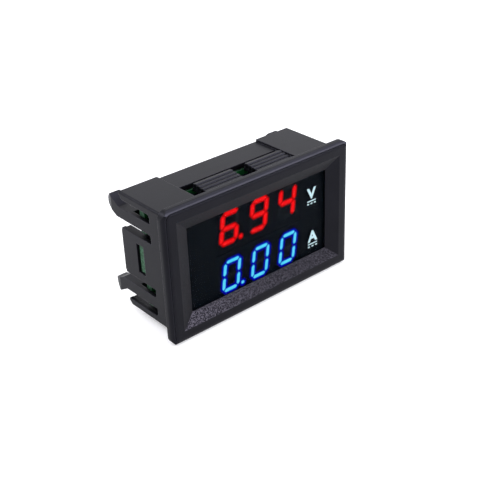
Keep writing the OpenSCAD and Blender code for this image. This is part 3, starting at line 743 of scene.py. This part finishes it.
pale_ink = two_tone("pale grey-blue screen ink", ("#A9C6CC", "#BAD6DA"), 0.5, (0.55, 0.7), specular=0.2)
work = bmesh.new()
face_y = filter_low.y
for letter, (box, bar_z, dash_z) in LEGENDS.items():
    letter_into(work, letter, box, face_y)
    left, right = box[0] + BAR_INSET, box[2] - BAR_INSET
    plate(work, rectangle(left, bar_z - BAR_HEIGHT / 2, right, bar_z + BAR_HEIGHT / 2),
          face_y - LEGEND_THICKNESS, face_y)
    dash = (right - left) / (2 * DASH_COUNT - 1)
    for i in range(DASH_COUNT):
        start = left + 2 * i * dash
        plate(work, rectangle(start, dash_z - DASH_HEIGHT / 2, start + dash, dash_z + DASH_HEIGHT / 2),
              face_y - LEGEND_THICKNESS, face_y)
bmesh.ops.remove_doubles(work, verts=work.verts, dist=LETTER_WELD * MM)
keep("legends", shape_mesh("legends", work, pale_ink))

# %% [markdown]
# ## Circuit board
#
# The board is woven glass in epoxy under green solder mask. The mask is glossy and a
# little uneven over the weave, whose yarns lie 0.6 mm apart. The sawn edges have no mask,
# so the rough, dull green of the glass and epoxy shows there. Two materials could be put
# on by face, but the object's own normal tells an edge from a face, and one will do.

# %% Solder mask and glass epoxy
YARN_PITCH = 0.6
WAVE_PERIOD = math.pi / 10  # of a Wave texture at scale 1
WEAVE_DEPTH = 0.01

board_mask, tree, shader = start_material(
    "green solder mask on glass epoxy", "#14552A", 0.34, specular=0.45)
surface = add(tree, "ShaderNodeTexCoord").outputs
aim = add(tree, "ShaderNodeSeparateXYZ", None, {0: surface["Normal"]}).outputs
facing = add(tree, "ShaderNodeMath", {"operation": "ABSOLUTE"}, {0: aim["Y"]})
on_face = add(tree, "ShaderNodeMapRange", None, {"Value": facing, "From Min": 0.4, "From Max": 0.8})
warp, weft = [
    add(tree, "ShaderNodeTexWave", {"bands_direction": way}, {
        "Vector": surface["Object"], "Scale": WAVE_PERIOD * per_mm(YARN_PITCH),
        "Distortion": 1.2, "Detail": 1.0, "Detail Scale": 2.0,
    }).outputs["Fac"]
    for way in ("X", "Z")
]
cloth = add(tree, "ShaderNodeMath", {"operation": "ADD"}, {0: warp, 1: weft})
crowns = add(tree, "ShaderNodeMapRange", None, {"Value": cloth, "From Min": 0.3, "From Max": 1.7})
mask = add(tree, "ShaderNodeMix", {"data_type": "RGBA"}, {"Factor": crowns, 6: "#125027", 7: "#1A6431"})
layers = blobs(tree, 0.5, 0.4, 0.6, detail=3.0)
laminate = add(tree, "ShaderNodeMix", {"data_type": "RGBA"},
               {"Factor": layers, 6: "#0F3A22", 7: "#3A6048"})
colour = add(tree, "ShaderNodeMix", {"data_type": "RGBA"},
             {"Factor": on_face, 6: laminate.outputs[2], 7: mask.outputs[2]})
roughness = add(tree, "ShaderNodeMapRange", None, {"Value": on_face, "To Min": 0.8, "To Max": 0.3})
bump = add(tree, "ShaderNodeBump", None,
           {"Height": cloth, "Distance": WEAVE_DEPTH * MM, "Strength": 0.25})
fill(shader, {"Base Color": colour.outputs[2], "Roughness": roughness, "Normal": bump})
dress(board_mask, "circuit_board")

# %% [markdown]
# ## Copper on the board
#
# Round every pin lies a ring of tinned copper that the solder wets, and smaller rings
# mark the vias. Tin is silvery and soft in shine. The rings could be cut from a sheet,
# but it is simpler to put the same small mesh on many points. Those for the pins are
# measured on the CAD pins themselves.

# %% Tinned copper rings
RING_HEIGHT = 0.03
RING_CORNERS = 24
PAD_RADIUS, PAD_WIDTH = 0.8, 0.34
VIA_RADIUS, VIA_WIDTH = 0.2, 0.16
SMOOTHEST, ROUGHEST = 0.8, 1.3  # times a metal's plain roughness
METAL_RELIEF = 0.4
VIAS = [(-7.3, 3.4), (-5.6, 4.0), (-7.3, -3.6), (-5.2, -3.4), (8.9, 4.2), (8.9, -2.2), (-6.4, 8.0),
        (9.2, 7.4), (-15.8, -6.4), (-15.6, 4.4), (7.6, -7.4), (-3.2, 8.2), (-19.6, 1.2), (-19.6, -1.2),
        (18.9, 0.2), (11.0, 0.3), (13.2, 0.3), (-6.8, -10.4), (0.2, 3.6), (2.6, 10.5)]
FRONT, BACK = (corner.y for corner in box_mm("circuit_board"))


def metal(name, low, high, roughness, size, depth):
    """Metal with two close tones, a drifting polish and a fine relief `depth` mm deep."""
    polish = (roughness * SMOOTHEST, roughness * ROUGHEST)
    return two_tone(name, (low, high), size, polish, (depth, METAL_RELIEF), metallic=1.0)


def ring_group(name, material):
    """A flat ring of rectangular section on every point of the mesh."""
    tree, size = start_group(name, Radius="Float", Width="Float", Height="Float")
    circle = add(tree, "GeometryNodeCurvePrimitiveCircle", None,
                 {"Resolution": RING_CORNERS, "Radius": size["Radius"]})
    section = add(tree, "GeometryNodeCurvePrimitiveQuadrilateral", None,
                  {"Width": size["Width"], "Height": size["Height"]})
    ring = add(tree, "GeometryNodeCurveToMesh", None, {0: circle, 1: section})
    upright = add(tree, "GeometryNodeTransform", None,
                  {"Geometry": ring, "Rotation": (math.pi / 2, 0, 0)})
    rings = add(tree, "GeometryNodeInstanceOnPoints", None,
                {"Points": size["Geometry"], "Instance": upright})
    end_group(tree, rings, material)
    return tree


def points_mesh(name, places):
    """A mesh of loose points, from places in millimetres."""
    mesh = bpy.data.meshes.new(name)
    mesh.from_pydata([Vector(p) * MM for p in places], [], [])
    return mesh


def centres(node):
    """The centre, in millimetres, of each separate solid in a CAD node."""
    work = bmesh.new()
    work.from_mesh(merged_copy(node))
    found, left = [], set(work.verts)
    while left:
        group, waiting = set(), [next(iter(left))]
        while waiting:
            vert = waiting.pop()
            if vert in group:
                continue
            group.add(vert)
            waiting += [edge.other_vert(vert) for edge in vert.link_edges]
        left -= group
        low, high = ([pick(v.co[i] for v in group) for i in range(3)] for pick in (min, max))
        found.append((Vector(low) + Vector(high)) / 2 / MM)
    work.free()
    return sorted(found, key=lambda c: (round(c.z, 2), round(c.x, 2)))


pins = [(c.x, c.z) for node in ("display_pins", "supply_header_pins", "load_header_pins")
        for c in centres(node)]
back_ring, front_ring = BACK + RING_HEIGHT / 2, FRONT - RING_HEIGHT / 2
pads = points_mesh("pads", [(x, y, z) for x, z in pins for y in (back_ring, front_ring)])
vias = points_mesh("vias", [(x, back_ring, z) for x, z in VIAS])
rings = ring_group("ring on each point", metal("tinned copper", "#B9B7AE", "#D2D0C8", 0.32, 0.6, 0.01))
grow("pad_rings", rings, pads, "tinned_metal",
     Radius=PAD_RADIUS * MM, Width=PAD_WIDTH * MM, Height=RING_HEIGHT * MM)
grow("via_rings", rings, vias, "tinned_metal",
     Radius=VIA_RADIUS * MM, Width=VIA_WIDTH * MM, Height=RING_HEIGHT * MM)
print(len(pins), "pins and", len(VIAS), "vias")

# %% [markdown]
# ## Traces under the mask
#
# Copper traces join the chip's leads and the vias in straight and 45 degree runs. They
# lie under the mask, so they show only as slightly raised, lighter green lines. They could
# be a pattern in the mask's colour, but real strips catch the light on their sides. One
# flat strip is swept along every path at once.

# %% Traces
TRACE_WIDTH = 0.3
TRACE_HEIGHT = 0.024
SHORTEST_RUN = 0.05
LEAD_INSET = 0.3
CHIP_TRACES = {
    # via: how far its trace starts from the chip's right side, mm, and at which edge
    2: (1.6, "low"),
    3: (2.25, "low"),
    0: (0.3, "high"),
    1: (0.9, "high"),
}
# Pairs of vias that a trace joins, by their place in the list of vias
VIA_TRACES = [(1, 18), (18, 4), (3, 5), (5, 15), (15, 16), (6, 11), (11, 19), (2, 17), (10, 5),
              (12, 13), (8, 17), (9, 12), (7, 4)]


def strip_group(name, material):
    """A flat strip along every path of the mesh."""
    tree, size = start_group(name, Width="Float", Height="Float")
    path = add(tree, "GeometryNodeMeshToCurve", None, {0: size["Geometry"]})
    level = add(tree, "GeometryNodeSetCurveNormal", {"mode": "FREE"},
                {"Curve": path, "Normal": (0, 1, 0)})
    section = add(tree, "GeometryNodeCurvePrimitiveQuadrilateral", None,
                  {"Width": size["Height"], "Height": size["Width"]})
    strip = add(tree, "GeometryNodeCurveToMesh", None, {0: level, 1: section, "Fill Caps": True})
    end_group(tree, strip, material)
    return tree


def route(start, end):
    """Corners of a trace: straight, then 45 degrees, then straight into its end."""
    across, up = end[0] - start[0], end[1] - start[1]
    slant = min(abs(across), abs(up))
    slant_x, slant_z = math.copysign(slant, across), math.copysign(slant, up)
    bend_x, bend_z = start[0] + (across - slant_x) / 2, start[1] + (up - slant_z) / 2
    return [start, (bend_x, bend_z), (bend_x + slant_x, bend_z + slant_z), end]


def paths_mesh(name, paths, y):
    """A mesh of edges along paths of (x, z) points in mm, without runs too short to sweep."""
    points, links = [], []
    for path in paths:
        first = len(points)
        kept = [p for i, p in enumerate(path) if i == 0 or math.dist(p, path[i - 1]) > SHORTEST_RUN]
        points += [Vector((x, y, z)) * MM for x, z in kept]
        links += [(first + i, first + i + 1) for i in range(len(kept) - 1)]
    mesh = bpy.data.meshes.new(name)
    mesh.from_pydata(points, links, [])
    return mesh


traced = two_tone("solder mask over copper", ("#1F7339", "#2A8446"), 1.5, (0.26, 0.36), specular=0.45)
chip_low, chip_high = box_mm("microcontroller_leads")
rows = {"low": chip_low.z + LEAD_INSET, "high": chip_high.z - LEAD_INSET}
traces = [route((chip_high.x - inset, rows[row]), VIAS[via])
          for via, (inset, row) in CHIP_TRACES.items()]
traces += [route(VIAS[start], VIAS[end]) for start, end in VIA_TRACES]
grow("board_traces", strip_group("strip on each path", traced),
     paths_mesh("traces", traces, BACK + TRACE_HEIGHT / 2), "green_board",
     Width=TRACE_WIDTH * MM, Height=TRACE_HEIGHT * MM)
print(len(traces), "traces")

# %% [markdown]
# ## Silkscreen
#
# White ink outlines show where the larger parts sit. They could be placed by hand, but a
# thin frame worked out from the part's own box always fits what it surrounds. Round a
# header or a trimmer it stands clear. Round a chip most of it lies under the body, so
# that only a fine line shows.

# %% Silkscreen outlines
SILK_THICKNESS = 0.02
SILK_WIDTH = 0.14
OUTLINED = {
    # how far the frame's inner edge lies outside the part's box, mm: the parts
    -0.1: ("microcontroller", "amplifier", "regulator", "diode"),
    0.25: ("supply_header", "load_header", "voltage_trimmer_base", "current_trimmer_base"),
}
white_ink = two_tone("white silkscreen ink", ("#CDD0C9", "#E2E4DE"), 0.6, (0.6, 0.75), specular=0.2)
work = bmesh.new()
for gap, parts in OUTLINED.items():
    for part in parts:
        low, high = box_mm(part)
        sides = (low.x, low.z, high.x, high.z)
        plate(work, rectangle(*sides, gap + SILK_WIDTH), BACK, BACK + SILK_THICKNESS,
              rectangle(*sides, gap))
keep("silkscreen", shape_mesh("silkscreen", work, white_ink))

# %% [markdown]
# ## Metal parts
#
# Tin is a soft silvery white that dulls unevenly. Solder froze from a liquid, so it is
# smoother and slightly rippled. The trimmers' rotors are brass with a thin wash of gold,
# warm yellow and bright. The shunt is a bent piece of manganin, a duller reddish brown.
# A metal has no colour of its own under the shine, so its tones tint the reflections.

# %% Metals
tin = metal("tin-plated brass", "#BFBBB0", "#D6D3CA", 0.26, 0.5, 0.008)
dress(tin, "display_pins", "supply_header_pins", "load_header_pins", "microcontroller_leads",
      "amplifier_leads", "regulator_leads", "diode_terminals", "resistor_ends", "capacitor_ends")
solder = metal("flowed tin solder", "#B4B7BA", "#D3D5D8", 0.24, 0.35, 0.03)
dress(solder, "solder_joints")
rotor_metal = metal("gold-washed brass", "#B99A54", "#D3B872", 0.28, 0.3, 0.01)
dress(rotor_metal, "voltage_trimmer_rotor", "current_trimmer_rotor")
manganin = metal("manganin resistance wire", "#8E6A48", "#B58C62", 0.34, 0.8, 0.02)
dress(manganin, "shunt")

# %% [markdown]
# ## Nylon, ceramics and chip epoxy
#
# Nylon lets light in a little way, which softens the headers. The trimmers' bases are
# white ceramic under a thin glaze, and chip capacitors are a matt tan ceramic. Chip
# bodies are moulded from black epoxy filled with silica, and look matt. The real specks
# of silica and of ceramic are finer than a tenth of a millimetre, and are drawn as coarse
# as they need to be to show.

# %% Nylon
NYLON_GRAIN = 0.25
NYLON_DEPTH = 0.01

nylon = two_tone("natural white nylon", ("#E2DFD2", "#EEECE2"), 2.0, (0.36, 0.48))
tree = nylon.node_tree
place = add(tree, "ShaderNodeTexCoord").outputs["Object"]
cloud = add(tree, "ShaderNodeTexNoise", None, {"Vector": place, "Scale": per_mm(NYLON_GRAIN)})
bump = add(tree, "ShaderNodeBump", None,
           {"Height": cloud, "Distance": NYLON_DEPTH * MM, "Strength": 0.3})
fill(tree.nodes["Principled BSDF"], {
    "Subsurface Weight": 0.25, "Subsurface Radius": (0.8 * MM, 0.7 * MM, 0.5 * MM),
    "Subsurface Scale": 1.0, "Normal": bump,
})
dress(nylon, "supply_header", "load_header")

# %% Ceramics and chip epoxy
MINERAL_RELIEF = 0.5
SPECK_DETAIL = 4.0


def mineral(name, low, high, size, roughness, depth):
    """Fired or filled stuff: two close tones in fine specks, with a relief `depth` mm deep."""
    return two_tone(name, (low, high), size, roughness, (depth, MINERAL_RELIEF), SPECK_DETAIL,
                    specular=0.4)


dress(mineral("glazed white ceramic", "#CFC8B6", "#DDD7C8", 0.7, (0.3, 0.42), 0.01),
      "voltage_trimmer_base", "current_trimmer_base")
dress(mineral("silica-filled black epoxy", "#151516", "#1F1F21", 0.12, (0.55, 0.7), 0.012),
      "microcontroller", "amplifier", "regulator", "diode", "resistors")
dress(mineral("tan titanate ceramic", "#A68A63", "#BF9F77", 0.2, (0.45, 0.6), 0.01), "capacitors")
